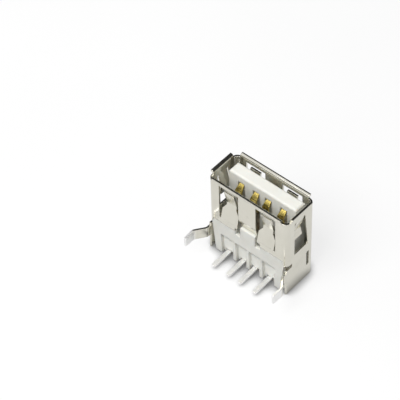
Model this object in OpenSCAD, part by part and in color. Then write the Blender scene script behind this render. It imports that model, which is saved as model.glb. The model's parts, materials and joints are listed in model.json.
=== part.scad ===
// Right-angle board socket for a flat four-contact plug.
// It stands on its rear wall with the mouth up. The board side faces -Y, the top side +Y.
// Lengths are in millimetres. Places along the shell are given as a distance behind the mouth,
// unless their comment says that they are heights above the rear wall.

/* [Shell] */
// Outside width of the folded shell
shell_w = 13.1; // [12.9:0.1:14]
// Outside height of the shell, from the board side to the top side
shell_h = 5.7; // [5.5:0.1:6.4]
// Length of the shell from the rear wall to the mouth
shell_len = 14; // [13.4:0.1:16]
// Thickness of the sheet
sheet_t = 0.3; // [0.2:0.05:0.35]
// Outside radius of the four long folds
fold_r = 0.9; // [0.7:0.05:1.1]

/* [Mouth] */
// How far the curled lips of the mouth stand out of the walls
lip_out = 0.2; // [0.15:0.05:0.35]
// Bend radius in the middle of the sheet of the lips
lip_r = 0.2; // [0.18:0.01:0.25]
// How far the rounded corners of the mouth stay behind the lips
corner_back = 0.6; // [0.4:0.05:0.65]

/* [Board side plate] */
// Rear edge of the plate on the board side
plate_end = 7.7; // [7.2:0.1:8.2]
// Rear edge of the plate at its middle, where the housing key shows
throat_end = 6.6; // [6.3:0.1:6.7]
// Width of the step in the plate's rear edge round the key
throat_w = 4.2; // [3.6:0.1:4.8]
// Width of the slanted cut at each rear corner of the plate
corner_cut = 0.3; // [0.2:0.1:0.8]
// Where the lock tab starts to dip
tab_root = 4.9; // [4.5:0.1:5.3]
// How far the end of the lock tab dips
tab_dip = 0.5; // [0.1:0.05:0.6]
// Place of the small locating dimple
dimple_at = 3.6; // [2.5:0.1:4]
// Radius of the dimple on the surface
dimple_r = 0.3; // [0.15:0.05:0.5]
// Depth of the dimple
dimple_depth = 0.09; // [0.05:0.01:0.15]

/* [Leaves] */
// Distance of each leaf from the middle of the plate
leaf_x = 3.05; // [2.8:0.05:3.3]
// Width of a leaf at its root
leaf_w = 2.75; // [2.2:0.05:3]
// Width of a leaf at its tip
leaf_tip_w = 1.65; // [1.2:0.05:2]
// Width of the slits beside a leaf
leaf_slit = 0.25; // [0.15:0.05:0.35]
// Front edge of a leaf's window
leaf_window = 0.8; // [0.75:0.05:1.1]
// Tip of a leaf
leaf_tip = 1.35; // [1.3:0.05:1.7]
// Lowest point of a leaf
leaf_low = 3.8; // [3.4:0.1:4.1]
// Front of a leaf's shoulders
leaf_neck = 4.3; // [4.1:0.1:4.6]
// Back of a leaf's shoulders
leaf_shoulder = 5.1; // [4.8:0.1:5.5]
// Root of a leaf
leaf_root = 6.75; // [6.7:0.05:7]
// How far a leaf of the board side dips into the shell
leaf_dip = 0.65; // [0.4:0.05:0.8]
// Gap between the leaves of the top side and the tongue
leaf_gap = 0.1; // [0.05:0.01:0.15]
// How far the curled tip of a leaf stays below the sheet
leaf_tip_in = 0.05; // [0:0.01:0.2]
// Bend radius in the middle of the sheet of leaves, tab and legs
bend_r = 0.6; // [0.4:0.05:0.8]

/* [Side walls] */
// Height of the side leaf's middle line, measured towards the top side
side_leaf_y = -0.2; // [-0.4:0.05:0]
// Width of the side leaf
side_leaf_w = 1.55; // [1.3:0.05:1.8]
// Root of the side leaf
side_leaf_root = 1.4; // [1.2:0.1:1.6]
// Lowest point of the side leaf
side_leaf_low = 3.8; // [3.4:0.1:4.2]
// Free end of the side leaf
side_leaf_end = 5; // [4.6:0.1:5.4]
// Rear edge of the side leaf's window
side_window_end = 7.4; // [6.8:0.1:7.8]
// How much further the window opens towards the top side at its rear edge
side_flare = 0.7; // [0:0.05:0.8]
// How far the side leaf dips into the shell
side_leaf_dip = 0.5; // [0.3:0.05:0.6]
// How far the free end of the side leaf comes back out
side_leaf_curl = 0.25; // [0.1:0.05:0.3]
// Height of the narrow rear slot's middle line, measured towards the top side
slot_y = 1.5; // [1.3:0.05:1.6]
// Width of the narrow rear slot
slot_w = 0.5; // [0.4:0.05:0.6]
// Front end of the narrow rear slot
slot_from = 9.1; // [8.7:0.1:9.5]
// Rear end of the narrow rear slot
slot_to = 11.8; // [11:0.1:12]
// How far the free edges stay below the board side
edge_drop = 0.05; // [0.05:0.05:0.6]

/* [Board legs] */
// Width of a leg
leg_w = 1.7; // [1.4:0.1:2]
// Width of a leg's tip
leg_tip_w = 1.5; // [1.2:0.1:1.7]
// How far a leg reaches past the board side
leg_reach = 3.8; // [3.2:0.1:4.2]
// How far past the board side the leg starts to splay
leg_straight = 0.6; // [0.4:0.1:0.8]
// How far past the board side the leg has its kink
leg_kink = 2.1; // [1.8:0.1:2.4]
// How far the kink stands out sideways
leg_splay = 1.1; // [0.8:0.05:1.3]
// How far the tip stands out sideways
leg_tip_out = 1.05; // [0.8:0.05:1.3]
// Distance of the legs in front of the row of tails
leg_pin_gap = 2.7; // [2.4:0.05:2.8]
// Middle of the relief cut in each side wall
relief_at = 9.05; // [8.9:0.05:9.2]
// Width of the relief cut
relief_w = 0.55; // [0.3:0.05:0.7]
// How far the relief cut reaches into the side wall from the board side
relief_depth = 1.2; // [0.9:0.05:1.5]

/* [Rear flap] */
// Outside radius of the fold between top side and rear flap
rear_fold_r = 0.6; // [0.45:0.05:0.8]
// Width of the relief at each end of this fold
rear_relief = 0.25; // [0.15:0.05:0.4]
// Gap between the flap and the side walls
flap_gap = 0.12; // [0.08:0.02:0.25]
// How far the flap's free edge stays below the board side
flap_drop = 0.75; // [0.7:0.05:0.9]
// Radius of the half-round notches in the flap's sides
flap_notch_r = 0.35; // [0.2:0.05:0.5]
// Height of these notches, measured towards the top side
flap_notch_y = -0.5; // [-1:0.1:0.5]

/* [Housing] */
// Width of the tongue
tongue_w = 11.1; // [10.6:0.05:11.3]
// Thickness of the tongue
tongue_t = 1.84; // [1.6:0.02:2]
// Gap between the tongue and the top wall of the shell
tongue_gap = 0.5; // [0.35:0.05:0.6]
// Front end of the tongue
tongue_end = 0.9; // [0.8:0.1:1.2]
// Size of the chamfer round the front end of the tongue
tongue_chamfer = 0.2; // [0.1:0.05:0.3]
// Depth of the space for the plug
cavity_depth = 10; // [9.5:0.1:10.4]
// Thickness of the shelf on the board side
shelf_t = 0.55; // [0.4:0.05:0.6]
// How far the housing's board face stays below the shell's
face_drop = 0.1; // [0.05:0.01:0.2]
// Width of the key at the front of the shelf
key_w = 2.5; // [2:0.1:2.9]
// Rear edge of the pocket on each side of the key
pocket_end = 8.5; // [8.2:0.1:8.8]
// Width of the board face at the comb
comb_w = 11; // [10:0.1:11.6]
// Height of the comb's ends above the rear wall
comb_rise = 0.1; // [0.05:0.05:0.3]
// Front end of the channel above each tail
channel_from = 10.2; // [10.1:0.1:10.6]
// Length of the channel's sloped front end
channel_slope = 0.8; // [0.4:0.1:1.2]
// Depth of the channels
channel_depth = 0.4; // [0.1:0.05:0.5]
// Width of the rib between two channels at the comb
rib_w = 0.6; // [0.4:0.05:0.8]
// Width of the rib at its front end
rib_tip_w = 0.3; // [0.1:0.05:0.5]
// Gap between the housing and the shell
fit_gap = 0.05; // [0.02:0.01:0.1]

/* [Contacts] */
// Distance between the two middle contacts
pitch_mid = 2; // [1.9:0.05:2.1]
// Distance between a middle contact and its outer neighbour
pitch_out = 2.5; // [2.4:0.05:2.6]
// Width of the sprung strip
contact_w = 1; // [0.8:0.05:1.1]
// Thickness of the strip
contact_t = 0.25; // [0.2:0.01:0.3]
// Tip of the sprung strip
contact_tip = 2.2; // [2:0.05:2.4]
// Width of the strip at its tip
contact_tip_w = 0.5; // [0.3:0.05:0.7]
// Highest point of the bow
contact_bow_at = 3.1; // [2.9:0.1:4]
// How far the bow stands out of the tongue
contact_bow = 0.6; // [0.4:0.05:0.8]
// Where the strip leaves its groove
contact_root = 8.4; // [7.5:0.1:9]
// Depth of the groove in the tongue
groove_depth = 0.6; // [0.5:0.05:0.7]
// How far the groove runs past the tip of the strip
groove_lead = 0.12; // [0.1:0.01:0.2]
// Gap between a contact and its groove
contact_gap = 0.05; // [0.03:0.01:0.1]
// Gap between a tail and its notch in the comb
notch_gap = 0.25; // [0.06:0.01:0.3]
// Width of a tail
tail_w = 0.65; // [0.5:0.05:0.75]
// Width of a tail's end
tail_tip_w = 0.4; // [0.3:0.05:0.5]
// How far a tail reaches past the board side
tail_reach = 2.9; // [2:0.1:3.2]
// Height of the row of tails above the rear wall
tail_rise = 0.7; // [0.6:0.05:0.9]

/* [Hidden] */
$fn = 48;

half_w = shell_w / 2;
half_h = shell_h / 2;
mid_x = half_w - sheet_t / 2;
mid_y = half_h - sheet_t / 2;
wall_x = half_w - sheet_t;
wall_y = half_h - sheet_t;
flat_y = half_h - fold_r;
// How far a cut runs past the faces it goes through
past = 1;
// How far one stretch of a piece runs into the next
lap = 0.4;
// The same for the straights and bends of a strip
hair = 0.02;

leg_z = tail_rise + leg_pin_gap;
relief_low = z_at(relief_at) - relief_w / 2;
plate_corner_z = z_at(relief_at) + relief_w / 2;
plate_corner_x = half_w - fold_r / 2;
window_w = leaf_w + 2 * leaf_slit;
tab_half = leaf_x - window_w / 2;

tongue_top = wall_y - tongue_gap;
tongue_face = tongue_top - tongue_t;
groove_floor = tongue_face + groove_depth;
contact_y = groove_floor - contact_gap - contact_t / 2;
groove_w = contact_w + 2 * contact_gap;
contact_x = [-pitch_mid / 2 - pitch_out, -pitch_mid / 2, pitch_mid / 2, pitch_mid / 2 + pitch_out];
pitch_left = [pitch_out, pitch_out, pitch_mid, pitch_out];
pitch_right = [pitch_out, pitch_mid, pitch_out, pitch_out];
notch_w = tail_w + 2 * notch_gap;
notch_top = tail_rise + contact_t / 2 + contact_gap;
face_y = face_drop - half_h;
block_z = sheet_t + fit_gap;

nickel = [0.78, 0.77, 0.74];
white_plastic = [0.93, 0.93, 0.91];
gold = [0.83, 0.66, 0.33];

// Height of a place that lies a given distance behind the mouth
function z_at(depth) = shell_len - depth;
// The points of a half outline, followed by their mirror images in the middle line
function both_sides(half) = concat(half, [for (i = [len(half) - 1 : -1 : 0]) [-half[i][0], half[i][1]]]);
// Direction in degrees from one point to another
function heading(a, b) = atan2(b[1] - a[1], b[0] - a[0]);
// An angle brought between -180 and 180 degrees
function wrapped(angle) = angle > 180 ? angle - 360 : angle < -180 ? angle + 360 : angle;
// Turn of a path at one of its inner points
function turn(path, i) = wrapped(heading(path[i], path[i + 1]) - heading(path[i - 1], path[i]));
// Length that the bend at a point takes off each straight beside it
function trim(path, i, r) = r * tan(abs(turn(path, i)) / 2);

// Lays a flat shape in the plane of Y and Z and gives it a width along X
module across_x(width) {
    rotate([90, 0, 90]) linear_extrude(width, center = true) children();
}

// Lays a flat shape in the plane of X and Z and gives it a depth from one Y to another
module along_y(from, to) {
    translate([0, to, 0]) rotate([90, 0, 0]) linear_extrude(to - from) children();
}

// Makes a thing and its mirror image in the plane of Y and Z
module left_and_right() {
    children();
    mirror([1, 0, 0]) children();
}

// Rectangle with rounded corners, centred
module rounded_rect(w, h, r) {
    square([w - 2 * r, h], center = true);
    square([w, h - 2 * r], center = true);
    for (x = [-1, 1], y = [-1, 1])
        translate([x * (w / 2 - r), y * (h / 2 - r)]) circle(r);
}

// Edge view of a bent strip whose middle follows a path. Straights run a hair into the bends.
module strip(path, r, t) {
    last = len(path) - 1;
    for (i = [0 : last - 1]) {
        start = i == 0 ? 0 : trim(path, i, r) - hair;
        end = i == last - 1 ? 0 : trim(path, i + 1, r) - hair;
        translate(path[i])
            rotate(heading(path[i], path[i + 1]))
                translate([start, -t / 2]) square([norm(path[i + 1] - path[i]) - start - end, t]);
    }
    for (i = [1 : last - 1])
        translate(path[i])
            rotate(heading(path[i - 1], path[i]))
                translate([-trim(path, i, r), 0]) bend(turn(path, i), r, t);
}

// Edge view of one bend, which starts at the origin along +X
module bend(angle, r, t) {
    side = sign(angle);
    reach = 2 * (r + t);
    translate([0, side * r])
        intersection() {
            difference() {
                circle(r + t / 2);
                circle(r - t / 2);
            }
            polygon([[0, 0], for (k = [0, 0.5, 1]) reach * [sin(k * abs(angle)), -side * cos(k * angle)]]);
        }
}

// Outline of the part of the board side that the plate leaves open
module board_opening() {
    polygon(both_sides([
        [0, z_at(throat_end)],
        [throat_w / 2, z_at(throat_end)],
        [throat_w / 2, z_at(plate_end)],
        [plate_corner_x - corner_cut, z_at(plate_end)],
        [plate_corner_x, plate_corner_z],
        [half_w + past, plate_corner_z],
        [half_w + past, -past]
    ]));
}

// Outline of one leaf seen from the board
module leaf_outline() {
    translate([leaf_x, 0])
        polygon(both_sides([
            [leaf_w / 2, z_at(leaf_root) - lap],
            [leaf_w / 2, z_at(leaf_shoulder)],
            [leaf_tip_w / 2, z_at(leaf_neck)],
            [leaf_tip_w / 2, z_at(leaf_tip) + lap]
        ]));
}

// One leaf of the board side, which dips into the shell and curls out again at its tip
module leaf(dip) {
    intersection() {
        across_x(2 * shell_w)
            strip([[-mid_y, z_at(leaf_root) - lap],
                   [-mid_y, z_at(leaf_root)],
                   [dip - mid_y, z_at(leaf_low)],
                   [leaf_tip_in - mid_y, z_at(leaf_tip)]], bend_r, sheet_t);
        along_y(-shell_h, 0) leaf_outline();
    }
}

// Windows of the two leaves of the board side
module leaf_windows() {
    left_and_right()
        translate([leaf_x - window_w / 2, -half_h - past, z_at(leaf_root)])
            cube([window_w, past + fold_r, leaf_root - leaf_window]);
}

// Lock tab in the middle of the plate, whose end dips in front of the housing key
module lock_tab() {
    across_x(2 * tab_half)
        strip([[-mid_y, z_at(tab_root) + lap],
               [-mid_y, z_at(tab_root)],
               [tab_dip - mid_y, z_at(throat_end) + fit_gap]], bend_r, sheet_t);
}

// Leaf of the right side wall, with its root at the mouth and its free end to the rear
module side_leaf() {
    translate([0, side_leaf_y, 0])
        along_y(-side_leaf_w / 2, side_leaf_w / 2)
            strip([[mid_x, z_at(side_leaf_root) + lap],
                   [mid_x, z_at(side_leaf_root)],
                   [mid_x - side_leaf_dip, z_at(side_leaf_low)],
                   [mid_x - side_leaf_dip + side_leaf_curl, z_at(side_leaf_end)]], bend_r, sheet_t);
}

// Window of the leaf and narrow slot in the right side wall
module side_openings() {
    half_window = side_leaf_w / 2 + leaf_slit;
    slot_flat = slot_to - slot_from - slot_w;
    translate([mid_x, side_leaf_y, 0])
        across_x(2 * past)
            polygon([
                [-half_window, z_at(side_leaf_root)],
                [half_window, z_at(side_leaf_root)],
                [half_window + side_flare, z_at(side_window_end)],
                [-half_window, z_at(side_window_end)]
            ]);
    translate([mid_x, slot_y, z_at((slot_from + slot_to) / 2)])
        across_x(2 * past) {
            square([slot_w, slot_flat], center = true);
            for (end = [-1, 1])
                translate([0, end * slot_flat / 2]) circle(slot_w / 2);
        }
}

// Right board leg: straight out of the side wall, then out to its kink and back to its tip
module leg() {
    board_y = -half_h;
    intersection() {
        translate([0, 0, leg_z - leg_w / 2])
            linear_extrude(leg_w)
                strip([[mid_x, -flat_y],
                       [mid_x, board_y - leg_straight],
                       [mid_x + leg_splay, board_y - leg_kink],
                       [mid_x + leg_tip_out, board_y - leg_reach]], bend_r, sheet_t);
        translate([half_w, 0, leg_z])
            across_x(shell_w)
                polygon([[0, -leg_w / 2], [0, leg_w / 2],
                         [board_y - leg_kink, leg_w / 2], [board_y - leg_reach, leg_tip_w / 2],
                         [board_y - leg_reach, -leg_tip_w / 2], [board_y - leg_kink, -leg_w / 2]]);
    }
}

// Flat rear wall, folded down from the top side, with a notch in each of its sides
module rear_flap() {
    fold_half = half_w - fold_r - rear_relief;
    flap_half = wall_x - flap_gap;
    bend_end = half_h - rear_fold_r;
    across_x(2 * fold_half)
        strip([[mid_y, rear_fold_r + lap], [mid_y, sheet_t / 2], [bend_end - lap, sheet_t / 2]],
              rear_fold_r - sheet_t / 2, sheet_t);
    linear_extrude(sheet_t)
        difference() {
            polygon(both_sides([
                [fold_half, bend_end],
                [fold_half, flat_y - flap_gap],
                [flap_half, flat_y - flap_gap],
                [flap_half, flap_drop - half_h]
            ]));
            for (x = [-flap_half, flap_half])
                translate([x, flap_notch_y]) circle(flap_notch_r);
        }
}

// Lip along each side of the mouth, curled outwards, with the rounded corners left open
module lips() {
    front = shell_len - sheet_t / 2;
    for (side = [0, 1])
        mirror([0, side, 0])
            across_x(2 * (half_w - fold_r))
                strip([[-mid_y, z_at(leaf_window)], [-mid_y, front], [-half_h - lip_out, front]],
                      lip_r, sheet_t);
    left_and_right()
        along_y(-flat_y, flat_y)
            strip([[mid_x, z_at(leaf_window)], [mid_x, front], [half_w + lip_out, front]],
                  lip_r, sheet_t);
}

// Straight tube of the shell before anything is cut out of it
module tube() {
    linear_extrude(z_at(corner_back))
        difference() {
            rounded_rect(shell_w, shell_h, fold_r);
            rounded_rect(2 * wall_x, 2 * wall_y, fold_r - sheet_t);
        }
}

module shell() {
    dimple_ball = (dimple_r * dimple_r + dimple_depth * dimple_depth) / (2 * dimple_depth);
    color(nickel) {
        difference() {
            tube();
            along_y(-half_h - past, relief_depth - half_h) board_opening();
            translate([-tab_half, -half_h - past, z_at(throat_end)])
                cube([2 * tab_half, past + fold_r, throat_end - tab_root]);
            leaf_windows();
            mirror([0, 1, 0]) leaf_windows();
            left_and_right() side_openings();
            translate([0, dimple_depth - dimple_ball - half_h, z_at(dimple_at)]) sphere(dimple_ball);
            translate([fold_r - half_w, flat_y, -past])
                cube([shell_w - 2 * fold_r, fold_r + past, past + rear_fold_r]);
        }
        left_and_right() {
            leaf(leaf_dip);
            mirror([0, 1, 0]) leaf(tongue_gap - leaf_gap);
            side_leaf();
            leg();
            translate([wall_x, edge_drop - half_h, 0])
                cube([sheet_t, relief_depth - edge_drop, relief_low]);
        }
        lips();
        lock_tab();
        rear_flap();
    }
}

// Outline of the housing's board face, with its key, pockets and tapered rear part
module board_face() {
    polygon(both_sides([
        [0, z_at(throat_end) - fit_gap],
        [key_w / 2, z_at(throat_end) - fit_gap],
        [key_w / 2, z_at(pocket_end)],
        [throat_w / 2, z_at(pocket_end)],
        [throat_w / 2, z_at(plate_end) - fit_gap],
        [plate_corner_x - corner_cut - fit_gap, z_at(plate_end) - fit_gap],
        [plate_corner_x - fit_gap, plate_corner_z],
        [comb_w / 2, comb_rise]
    ]));
}

// Channel of one contact in the board face. Below the rear block it runs through the whole comb.
module channel(left, right) {
    front = z_at(channel_from);
    bottom = comb_rise - past;
    floor_y = face_y + channel_depth;
    intersection() {
        along_y(face_y - past, face_y + past)
            polygon([
                [(rib_w - left) / 2, bottom],
                [(rib_w - left) / 2, comb_rise],
                [(rib_tip_w - left) / 2, front],
                [(right - rib_tip_w) / 2, front],
                [(right - rib_w) / 2, comb_rise],
                [(right - rib_w) / 2, bottom]
            ]);
        across_x(shell_w)
            polygon([
                [face_y, front],
                [floor_y, front - channel_slope],
                [floor_y, block_z],
                [face_y + past, block_z],
                [face_y + past, bottom],
                [face_y - past, bottom],
                [face_y - past, front]
            ]);
    }
}

// Tongue with a chamfered front end, before its grooves are cut
module tongue() {
    front = z_at(tongue_end);
    translate([0, (tongue_top + tongue_face) / 2, 0])
        intersection() {
            along_y(-tongue_t, tongue_t)
                polygon(both_sides([
                    [tongue_w / 2, z_at(cavity_depth) - lap],
                    [tongue_w / 2, front - tongue_chamfer],
                    [tongue_w / 2 - tongue_chamfer, front]
                ]));
            across_x(shell_w)
                polygon(both_sides([
                    [tongue_t / 2, z_at(cavity_depth) - lap],
                    [tongue_t / 2, front - tongue_chamfer],
                    [tongue_t / 2 - tongue_chamfer, front]
                ]));
        }
}

// Groove in the tongue, slot through the rear block, and behind it a channel and a pocket for the bend
module contact_way() {
    slot_t = contact_t + 2 * contact_gap;
    translate([-groove_w / 2, tongue_face - past, z_at(cavity_depth)])
        cube([groove_w, groove_depth + past, cavity_depth - contact_tip + groove_lead]);
    translate([-groove_w / 2, groove_floor - slot_t, 0])
        cube([groove_w, slot_t, z_at(cavity_depth) + lap]);
    translate([-notch_w / 2, -half_h, -past])
        cube([notch_w, half_h + groove_floor, past + notch_top]);
    translate([-groove_w / 2, contact_y - bend_r, -past])
        cube([groove_w, groove_floor - contact_y + bend_r, past + tail_rise + bend_r]);
}

// Corner taken off the housing to make room for the inside of the rear fold
module rear_corner() {
    corner = rear_fold_r - sheet_t + fit_gap;
    across_x(shell_w)
        polygon([[wall_y - corner, sheet_t], [wall_y, sheet_t], [wall_y, sheet_t + corner]]);
}

module housing() {
    in_w = 2 * (wall_x - fit_gap);
    in_h = 2 * (wall_y - fit_gap);
    color(white_plastic)
        difference() {
            union() {
                translate([0, 0, block_z])
                    linear_extrude(z_at(cavity_depth) - block_z)
                        rounded_rect(in_w, in_h, fold_r - sheet_t - fit_gap);
                along_y(face_y, face_y + shelf_t) board_face();
                tongue();
            }
            for (i = [0 : 3])
                translate([contact_x[i], 0, 0]) {
                    contact_way();
                    channel(pitch_left[i], pitch_right[i]);
                }
            rear_corner();
        }
}

// One contact: tail, bend behind the housing, straight run, bow and tip
module contact() {
    tail_end = -half_h - tail_reach;
    intersection() {
        across_x(contact_w)
            strip([[tail_end, tail_rise],
                   [contact_y, tail_rise],
                   [contact_y, z_at(contact_root)],
                   [tongue_face - contact_bow, z_at(contact_bow_at)],
                   [contact_y, z_at(contact_tip)]], bend_r, contact_t);
        along_y(-shell_h, shell_h)
            polygon(both_sides([
                [tail_w / 2, 0],
                [tail_w / 2, notch_top],
                [contact_w / 2, notch_top + (contact_w - tail_w) / 2],
                [contact_w / 2, z_at(contact_bow_at)],
                [contact_tip_w / 2, z_at(contact_tip) + lap]
            ]));
        linear_extrude(shell_len)
            polygon(both_sides([
                [tail_tip_w / 2, tail_end],
                [contact_w / 2, tail_end + contact_w],
                [contact_w / 2, shell_h]
            ]));
    }
}

module contact_power() {
    color(gold) translate([contact_x[0], 0, 0]) contact();
}

module contact_data_minus() {
    color(gold) translate([contact_x[1], 0, 0]) contact();
}

module contact_data_plus() {
    color(gold) translate([contact_x[2], 0, 0]) contact();
}

module contact_ground() {
    color(gold) translate([contact_x[3], 0, 0]) contact();
}

shell();
housing();
contact_power();
contact_data_minus();
contact_data_plus();
contact_ground();
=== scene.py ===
# %% [markdown]
# # A board socket for a flat plug, dressed and photographed
# The real thing is a small connector, 13 mm wide, that is soldered to a circuit board. A thin
# plated sheet is folded into a tube, a white moulding fills its rear end, and four sprung strips
# lie in grooves of the moulding's tongue. Every piece is a rigid one with a measured shape, so
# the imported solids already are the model. This lesson gives them their finishes, sets them on a
# table and takes the picture.

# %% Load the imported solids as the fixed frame
import json
from math import cos, radians, sin

import bpy
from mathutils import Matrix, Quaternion, Vector

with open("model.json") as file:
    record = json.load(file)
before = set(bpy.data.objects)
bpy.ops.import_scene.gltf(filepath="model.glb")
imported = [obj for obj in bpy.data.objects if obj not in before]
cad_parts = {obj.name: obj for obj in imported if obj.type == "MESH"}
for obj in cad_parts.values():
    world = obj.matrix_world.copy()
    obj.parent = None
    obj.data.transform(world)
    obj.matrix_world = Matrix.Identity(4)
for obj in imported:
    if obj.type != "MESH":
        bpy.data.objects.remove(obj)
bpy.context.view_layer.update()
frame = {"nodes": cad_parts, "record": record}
nodes = frame["nodes"]
MM = 0.001

# %% [markdown]
# ## The camera
# The picture was taken with a long lens from two hands' breadths above the table. A long lens keeps
# upright edges almost parallel, which is why a guess with a short lens never fits. The place, the
# angles and the focal length below were solved from the lips of the mouth and the row of contacts,
# whose sizes are known. The camera was held a little askew, which is its roll.

# %% Place the camera at the photograph's viewing angle
CAMERA_PLACE = Vector((96.749, -114.843, 180.930)) * MM
CAMERA_AZIMUTH = radians(43.085)
CAMERA_ELEVATION = radians(48.426)
CAMERA_ROLL = radians(-2.428)
FOCAL_PIXELS = 1774.6
IMAGE_PIXELS = 400
SENSOR_WIDTH = 36.0
CLIP_START = 10 * MM

towards_camera = Vector((
    sin(CAMERA_AZIMUTH) * cos(CAMERA_ELEVATION),
    -cos(CAMERA_AZIMUTH) * cos(CAMERA_ELEVATION),
    sin(CAMERA_ELEVATION),
))
level = towards_camera.to_track_quat("Z", "Y")
rolled = level @ Quaternion((0, 0, 1), CAMERA_ROLL)
bpy.ops.object.select_all(action="DESELECT")
bpy.ops.object.camera_add(location=CAMERA_PLACE, rotation=rolled.to_euler())
camera = bpy.context.object
camera.name = "camera"
camera.data.sensor_width = SENSOR_WIDTH
camera.data.lens = FOCAL_PIXELS / IMAGE_PIXELS * SENSOR_WIDTH
camera.data.clip_start = CLIP_START
bpy.context.scene.camera = camera
bpy.context.scene.view_settings.view_transform = "Standard"
print("camera at", [round(c / MM, 1) for c in camera.location], "mm")
print("lens", round(camera.data.lens, 1), "mm")

# %% [markdown]
# ## Helpers for finishes
# A finish is a small graph of nodes. Object coordinates are in metres, which makes every texture
# scale a huge number, so each graph first turns them into millimetres. After that a scale of 4
# simply means four grains to the millimetre. A grain that runs along the sheet is the same noise
# with its coordinates squeezed in one direction.

# %% Helpers: a new finish, a node and millimetre coordinates
def new_finish(name):
    finish = bpy.data.materials.new(name)
    finish.use_nodes = True
    return finish, finish.node_tree, finish.node_tree.nodes["Principled BSDF"]


def add_node(tree, kind, **settings):
    node = tree.nodes.new(kind)
    for key, value in settings.items():
        setattr(node, key, value)
    return node


def millimetres(tree, squeeze=(1.0, 1.0, 1.0)):
    place = add_node(tree, "ShaderNodeTexCoord")
    scale = add_node(tree, "ShaderNodeMapping")
    scale.inputs["Scale"].default_value = [part / MM for part in squeeze]
    tree.links.new(place.outputs["Object"], scale.inputs["Vector"])
    return scale.outputs["Vector"]


print("coordinates are multiplied by", round(1 / MM))

# %% [markdown]
# Noise runs from 0 to 1, but it seldom leaves the middle of that range. A ramp or a spread between
# the two limits below therefore uses all of its colours or numbers.

# %% Helpers: noise, and the colour or the number it picks
NOISE_LOW, NOISE_HIGH = 0.30, 0.70


def noise(tree, vector, per_mm, detail):
    grain = add_node(tree, "ShaderNodeTexNoise")
    grain.inputs["Scale"].default_value = per_mm
    grain.inputs["Detail"].default_value = detail
    tree.links.new(vector, grain.inputs["Vector"])
    return grain.outputs["Fac"]


def ramp(tree, fac, *stops):
    colours = add_node(tree, "ShaderNodeValToRGB")
    elements = colours.color_ramp.elements
    while len(elements) < len(stops):
        elements.new(0.5)
    for element, (position, colour) in zip(elements, stops):
        element.position = position
        element.color = (*colour, 1.0)
    tree.links.new(fac, colours.inputs["Fac"])
    return colours.outputs["Color"]


def spread(tree, fac, low, high, start=NOISE_LOW, end=NOISE_HIGH):
    span = add_node(tree, "ShaderNodeMapRange")
    span.inputs["From Min"].default_value = start
    span.inputs["From Max"].default_value = end
    span.inputs["To Min"].default_value = low
    span.inputs["To Max"].default_value = high
    tree.links.new(fac, span.inputs["Value"])
    return span.outputs["Result"]


print("noise is used from", NOISE_LOW, "to", NOISE_HIGH)

# %% [markdown]
# One piece can wear two platings. The share of the second one goes from 0 to 1 where a coordinate
# passes an edge, and noise makes that edge ragged. Relief is a bump on top of a bevelled normal,
# which rounds the edges in the shading and leaves the mesh alone.

# %% Helpers: two platings on one piece, and fine relief
BEVEL_SAMPLES = 6


def share_beyond(tree, place, axis, wander, edge, fade):
    axes = add_node(tree, "ShaderNodeSeparateXYZ")
    ragged = add_node(tree, "ShaderNodeMath", operation="MULTIPLY_ADD")
    ragged.inputs[1].default_value = fade
    tree.links.new(place, axes.inputs["Vector"])
    tree.links.new(wander, ragged.inputs[0])
    tree.links.new(axes.outputs[axis], ragged.inputs[2])
    return spread(tree, ragged.outputs["Value"], 0.0, 1.0, edge, edge + fade)


def blend(tree, share, outside, inside):
    mixed = add_node(tree, "ShaderNodeMix", data_type="RGBA")
    tree.links.new(share, mixed.inputs["Factor"])
    tree.links.new(outside, mixed.inputs["A"])
    tree.links.new(inside, mixed.inputs["B"])
    return mixed.outputs["Result"]


def add_up(tree, first, second):
    total = add_node(tree, "ShaderNodeMath", operation="ADD", use_clamp=True)
    tree.links.new(first, total.inputs[0])
    tree.links.new(second, total.inputs[1])
    return total.outputs["Value"]


def relief(tree, height, depth, strength, round_edges):
    edge = add_node(tree, "ShaderNodeBevel", samples=BEVEL_SAMPLES)
    edge.inputs["Radius"].default_value = round_edges
    bump = add_node(tree, "ShaderNodeBump")
    bump.inputs["Distance"].default_value = depth
    bump.inputs["Strength"].default_value = strength
    tree.links.new(height, bump.inputs["Height"])
    tree.links.new(edge.outputs["Normal"], bump.inputs["Normal"])
    return bump.outputs["Normal"]


print("edges are rounded with", BEVEL_SAMPLES, "samples")

# %% [markdown]
# ## Nickel on the folded sheet
# The shell is thin strip, plated with nickel after it is cut and folded. Nickel is a warm, slightly
# yellow metal and not as bright as silver. Rolling leaves fine lines along the strip, handling
# leaves a soft haze, and the press rounds every cut edge a little. A flat grey would look like
# paint, so the colour, the roughness and the relief each get a pattern of their own. The edge
# rounding is a bevel of the shading only, because it is smaller than the sheet is thick. The ends
# of the two legs are dipped in tin, so that solder wets them. The sheet is one piece, so the place
# along Y tells the finish where the tin begins.

# %% Nickel finish
NICKEL = ((NOISE_LOW, (0.650, 0.632, 0.555)), (NOISE_HIGH, (0.700, 0.682, 0.608)))
NICKEL_ROUGHNESS = (0.07, 0.13)
LINE_ROUGHNESS = (0.00, 0.05)
TIN = ((NOISE_LOW, (0.860, 0.858, 0.848)), (NOISE_HIGH, (0.930, 0.928, 0.920)))
TIN_DULLNESS = 0.30
LEG_TIN_FROM_Y = -5.0
LEG_TIN_FADE = 0.5
ROLLED = (1.0, 1.0, 0.05)
ROLLING_DEPTH = 0.002 * MM
ROLLING_STRENGTH = 0.25
SHEET_EDGE = 0.12 * MM

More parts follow.
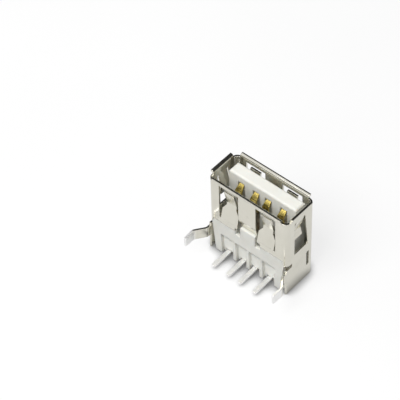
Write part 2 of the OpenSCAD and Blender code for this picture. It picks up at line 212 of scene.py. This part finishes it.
nickel, tree, shader = new_finish("nickel")
sheet_place = millimetres(tree)
rolling_lines = noise(tree, millimetres(tree, ROLLED), per_mm=14.0, detail=6.0)
haze = noise(tree, sheet_place, per_mm=0.35, detail=3.0)
untinned = share_beyond(tree, sheet_place, "Y", haze, LEG_TIN_FROM_Y, LEG_TIN_FADE)
sheet_colour = blend(tree, untinned, ramp(tree, haze, *TIN), ramp(tree, haze, *NICKEL))
soft = spread(tree, haze, *NICKEL_ROUGHNESS)
polish = add_up(tree, soft, spread(tree, rolling_lines, *LINE_ROUGHNESS))
dullness = spread(tree, untinned, TIN_DULLNESS, 0.0, start=0.0, end=1.0)
grooves = relief(tree, rolling_lines, ROLLING_DEPTH, ROLLING_STRENGTH, SHEET_EDGE)
tree.links.new(sheet_colour, shader.inputs["Base Color"])
tree.links.new(add_up(tree, polish, dullness), shader.inputs["Roughness"])
tree.links.new(grooves, shader.inputs["Normal"])
shader.inputs["Metallic"].default_value = 1.0
print("nickel has", len(tree.nodes), "nodes")

# %% [markdown]
# ## White moulded plastic
# The housing is one moulding of white, heat-proof plastic. It lets a little light in, so its edges
# are soft and its shadows are never quite black. The mould leaves a fine, even texture, and the
# flow of the melt leaves faint clouds in the white. The mould's rounded corners are again a bevel
# of the shading only.

# %% White plastic finish
PLASTIC = ((NOISE_LOW, (0.815, 0.813, 0.755)), (NOISE_HIGH, (0.860, 0.858, 0.805)))
PLASTIC_ROUGHNESS = (0.34, 0.44)
MOULD_DEPTH = 0.003 * MM
MOULD_STRENGTH = 0.30
MOULD_EDGE = 0.30 * MM
LIGHT_LET_IN = 0.35
LIGHT_REACH = 0.35 * MM
REACH_BY_COLOUR = (1.0, 0.9, 0.8)

white_plastic, tree, shader = new_finish("white_plastic")
clouds = noise(tree, millimetres(tree), per_mm=0.5, detail=3.0)
mould_grain = noise(tree, millimetres(tree), per_mm=18.0, detail=2.0)
grain_relief = relief(tree, mould_grain, MOULD_DEPTH, MOULD_STRENGTH, MOULD_EDGE)
tree.links.new(ramp(tree, clouds, *PLASTIC), shader.inputs["Base Color"])
tree.links.new(spread(tree, clouds, *PLASTIC_ROUGHNESS), shader.inputs["Roughness"])
tree.links.new(grain_relief, shader.inputs["Normal"])
shader.inputs["Subsurface Weight"].default_value = LIGHT_LET_IN
shader.inputs["Subsurface Radius"].default_value = REACH_BY_COLOUR
shader.inputs["Subsurface Scale"].default_value = LIGHT_REACH
print("white plastic has", len(tree.nodes), "nodes")

# %% [markdown]
# ## Gold and tin on the contacts
# Each contact is stamped from one strip of copper alloy. Only the sprung end that touches the plug
# is gilt, and the tail that goes through the board is tinned. Between them the strip is a dark
# brown, which is partly the bare alloy and partly painted shade of the deep socket. The strip is
# one piece,
# so this is one finish: the place along Z says where the gold begins, the place along Y says where
# the tin begins, and a little noise keeps both lines from being ruled.

# %% Contact finish
GOLD = ((NOISE_LOW, (0.420, 0.325, 0.085)), (NOISE_HIGH, (0.540, 0.430, 0.135)))
# The dark brown below the gold is partly bare alloy and partly painted shade of the deep socket.
BARE_AND_PAINTED_SHADE = ((NOISE_LOW, (0.140, 0.100, 0.060)), (NOISE_HIGH, (0.190, 0.140, 0.090)))
STRIP_ROUGHNESS = (0.14, 0.26)
STRIP_EDGE = 0.05 * MM
TIN_FROM_Y = -1.6
GOLD_FROM_Z = 8.6
PLATING_FADE = 0.3

contact_plating, tree, shader = new_finish("contact_plating")
strip_place = millimetres(tree)
strip_lines = noise(tree, millimetres(tree, ROLLED), per_mm=16.0, detail=5.0)
blush = noise(tree, strip_place, per_mm=0.9, detail=3.0)
untinned = share_beyond(tree, strip_place, "Y", blush, TIN_FROM_Y, PLATING_FADE)
gilt = share_beyond(tree, strip_place, "Z", blush, GOLD_FROM_Z, PLATING_FADE)
sprung_colour = blend(tree, gilt, ramp(tree, blush, *BARE_AND_PAINTED_SHADE), ramp(tree, blush, *GOLD))
strip_colour = blend(tree, untinned, ramp(tree, blush, *TIN), sprung_colour)
polish = spread(tree, strip_lines, *STRIP_ROUGHNESS)
dullness = spread(tree, untinned, TIN_DULLNESS, 0.0, start=0.0, end=1.0)
grooves = relief(tree, strip_lines, ROLLING_DEPTH, ROLLING_STRENGTH, STRIP_EDGE)
tree.links.new(strip_colour, shader.inputs["Base Color"])
tree.links.new(add_up(tree, polish, dullness), shader.inputs["Roughness"])
tree.links.new(grooves, shader.inputs["Normal"])
shader.inputs["Metallic"].default_value = 1.0
print("contact plating has", len(tree.nodes), "nodes")

# %% [markdown]
# ## Dressing the solids
# The record says which finish each solid takes. Putting the finish in the solid's own material slot
# leaves its mesh as it is, so nothing moves and nothing changes size.

# %% Give every solid its finish
finishes = {"nickel": nickel, "white_plastic": white_plastic, "contact_plating": contact_plating}
for part in frame["record"]["subparts"]:
    nodes[part["node"]].material_slots[0].material = finishes[part["material_slot"]]
    print(part["node"], "wears", part["material_slot"])

# %% [markdown]
# ## The table
# The socket stands on a white table. The table only has to be white and matt, take a soft shadow
# and show in the metal. It is a disc, wide enough to fill the picture. Its paint is a grey, which
# keeps the lamp's shadow as faint as in the picture, and the table glows by what is missing to
# white. It glows only for the camera and, a little less, for mirror rays, so the glow lights
# nothing. Right beside the object the glow fades, which is a painted shadow: the narrow dark seam
# that an upright wall has along its foot on white paper, seen by the camera and in the metal.

# %% Model the table
TABLE_RADIUS = 300 * MM
TABLE_THICKNESS = 8 * MM
ROUND_SIDES = 128

bpy.ops.object.select_all(action="DESELECT")
bpy.ops.mesh.primitive_cylinder_add(
    vertices=ROUND_SIDES, radius=TABLE_RADIUS, depth=TABLE_THICKNESS,
    location=(0, 0, -TABLE_THICKNESS / 2),
)
table = bpy.context.object
table.name = "table"
bpy.ops.object.transform_apply(location=True)
print("table radius", round(TABLE_RADIUS / MM), "mm")

# %% Paint the table grey
TABLE_PAINT = ((NOISE_LOW, (0.240, 0.240, 0.240)), (NOISE_HIGH, (0.260, 0.260, 0.260)))
TABLE_ROUGHNESS = 0.7

table_white, tree, shader = new_finish("table_white")
cloud = noise(tree, millimetres(tree), per_mm=0.02, detail=2.0)
tree.links.new(ramp(tree, cloud, *TABLE_PAINT), shader.inputs["Base Color"])
shader.inputs["Roughness"].default_value = TABLE_ROUGHNESS
table.data.materials.append(table_white)
print("table roughness", TABLE_ROUGHNESS)

# %% Let it glow for the camera and for mirror rays
TABLE_GLOW = 0.72
TABLE_MIRROR_GLOW = 0.62
WHITE = (1.0, 1.0, 1.0, 1.0)

rays = add_node(tree, "ShaderNodeLightPath")
mirrored = add_node(tree, "ShaderNodeMath", operation="MULTIPLY")
mirrored.inputs[1].default_value = TABLE_MIRROR_GLOW
glow = add_node(tree, "ShaderNodeMath", operation="MULTIPLY_ADD")
glow.inputs[1].default_value = TABLE_GLOW
tree.links.new(rays.outputs["Is Glossy Ray"], mirrored.inputs[0])
tree.links.new(rays.outputs["Is Camera Ray"], glow.inputs[0])
tree.links.new(mirrored.outputs["Value"], glow.inputs[2])
shader.inputs["Emission Color"].default_value = WHITE
print("table glow", TABLE_GLOW, "and in mirrors", TABLE_MIRROR_GLOW)

# %% Fade the glow beside the object
# The fade is a painted shadow along the foot of the object, seen by the camera and in mirrors.
PAINTED_SHADOW_WIDTH = 2.0 * MM
PAINTED_SHADOW_GLOW = 0.10
PAINTED_SHADOW_FROM, PAINTED_SHADOW_TO = 0.45, 0.85
PAINTED_SHADOW_SAMPLES = 16

nearness = add_node(tree, "ShaderNodeAmbientOcclusion", samples=PAINTED_SHADOW_SAMPLES)
nearness.inputs["Distance"].default_value = PAINTED_SHADOW_WIDTH
outside_painted_shadow = spread(tree, nearness.outputs["AO"], PAINTED_SHADOW_GLOW, 1.0, PAINTED_SHADOW_FROM, PAINTED_SHADOW_TO)
glow_with_painted_shadow = add_node(tree, "ShaderNodeMath", operation="MULTIPLY")
tree.links.new(glow.outputs["Value"], glow_with_painted_shadow.inputs[0])
tree.links.new(outside_painted_shadow, glow_with_painted_shadow.inputs[1])
tree.links.new(glow_with_painted_shadow.outputs["Value"], shader.inputs["Emission Strength"])
print("seam", PAINTED_SHADOW_WIDTH / MM, "mm wide")

# %% [markdown]
# ## Light
# Bright metal shows the room and not itself, so the light has two jobs. For the white plastic it is
# a soft sky, brighter overhead and on the left, with one soft lamp high in front that shines into
# the mouth. For the metal it is a white room with two dark things in it: a low dark band all round,
# which draws thin lines along the bends, and a dark card behind the socket. The tops of the curled
# lips look up and away from the camera, so they mirror the card and turn black.

# %% Sky: bright overhead and on the left, dim near the table
SKY_STRENGTH = 0.62
LEFT_GAIN, RIGHT_GAIN = 1.25, 0.75
SKY = ((0.00, (0.18, 0.18, 0.18)), (0.35, (0.40, 0.40, 0.40)), (0.70, (1.00, 1.00, 1.00)))

world = bpy.data.worlds.new("soft_sky")
bpy.context.scene.world = world
world.use_nodes = True
tree = world.node_tree
background = tree.nodes["Background"]
direction = add_node(tree, "ShaderNodeTexCoord")
axes = add_node(tree, "ShaderNodeSeparateXYZ")
tree.links.new(direction.outputs["Generated"], axes.inputs["Vector"])
left, right = LEFT_GAIN * SKY_STRENGTH, RIGHT_GAIN * SKY_STRENGTH
from_left = spread(tree, axes.outputs["X"], left, right, start=-1.0, end=1.0)
tree.links.new(ramp(tree, axes.outputs["Z"], *SKY), background.inputs["Color"])
tree.links.new(from_left, background.inputs["Strength"])
print("sky strength", SKY_STRENGTH)

# %% White room, for the camera and for mirror rays
white_room = add_node(tree, "ShaderNodeBackground")
white_room.inputs["Color"].default_value = WHITE
room = add_node(tree, "ShaderNodeMixShader")
rays = add_node(tree, "ShaderNodeLightPath")
seen = add_node(tree, "ShaderNodeMath", operation="MAXIMUM")
tree.links.new(rays.outputs["Is Camera Ray"], seen.inputs[0])
tree.links.new(rays.outputs["Is Glossy Ray"], seen.inputs[1])
tree.links.new(seen.outputs["Value"], room.inputs["Fac"])
tree.links.new(background.outputs["Background"], room.inputs[1])
tree.links.new(white_room.outputs["Background"], room.inputs[2])
tree.links.new(room.outputs["Shader"], tree.nodes["World Output"].inputs["Surface"])
print("world has", len(tree.nodes), "nodes")

# %% Dark band, seen by mirror rays only
BAND_RADIUS = 120 * MM
BAND_HEIGHT = 35 * MM
BLACK = (0.01, 0.01, 0.01, 1.0)


def show_in_mirrors_only(piece):
    piece.visible_camera = False
    piece.visible_diffuse = False
    piece.visible_shadow = False


bpy.ops.object.select_all(action="DESELECT")
bpy.ops.mesh.primitive_cylinder_add(
    vertices=ROUND_SIDES, radius=BAND_RADIUS, depth=BAND_HEIGHT, end_fill_type="NOTHING",
    location=(0, 0, BAND_HEIGHT / 2),
)
dark_band = bpy.context.object
dark_band.name = "dark_band"
bpy.ops.object.transform_apply(location=True)
band_black, tree, shader = new_finish("band_black")
shader.inputs["Base Color"].default_value = BLACK
shader.inputs["Roughness"].default_value = 1.0
dark_band.data.materials.append(band_black)
show_in_mirrors_only(dark_band)
print("dark band", round(BAND_HEIGHT / MM), "mm high")

# %% Dark card behind the socket, seen by mirror rays only
CARD_PLACE = Vector((0, 120, 150)) * MM
CARD_SIZE = Vector((600, 300)) * MM
UPRIGHT = (radians(90), 0, 0)

bpy.ops.object.select_all(action="DESELECT")
bpy.ops.mesh.primitive_plane_add(size=1, location=CARD_PLACE, rotation=UPRIGHT)
dark_card = bpy.context.object
dark_card.name = "dark_card"
dark_card.scale = (CARD_SIZE.x, CARD_SIZE.y, 1)
bpy.ops.object.transform_apply(location=True, rotation=True, scale=True)
dark_card.data.materials.append(band_black)
show_in_mirrors_only(dark_card)
print("dark card", [round(side / MM) for side in CARD_SIZE], "mm")

# %% Soft lamp, high in front
LAMP_PLACE = Vector((-20, -215, 320)) * MM
LAMP_SIZE = 240 * MM
LAMP_WATTS = 1.10

facing_socket = LAMP_PLACE.to_track_quat("Z", "Y").to_euler()
bpy.ops.object.select_all(action="DESELECT")
bpy.ops.object.light_add(type="AREA", location=LAMP_PLACE, rotation=facing_socket)
lamp = bpy.context.object
lamp.name = "soft_lamp"
lamp.data.size = LAMP_SIZE
lamp.data.energy = LAMP_WATTS
print("lamp", LAMP_WATTS, "W at", [round(c / MM) for c in LAMP_PLACE], "mm")
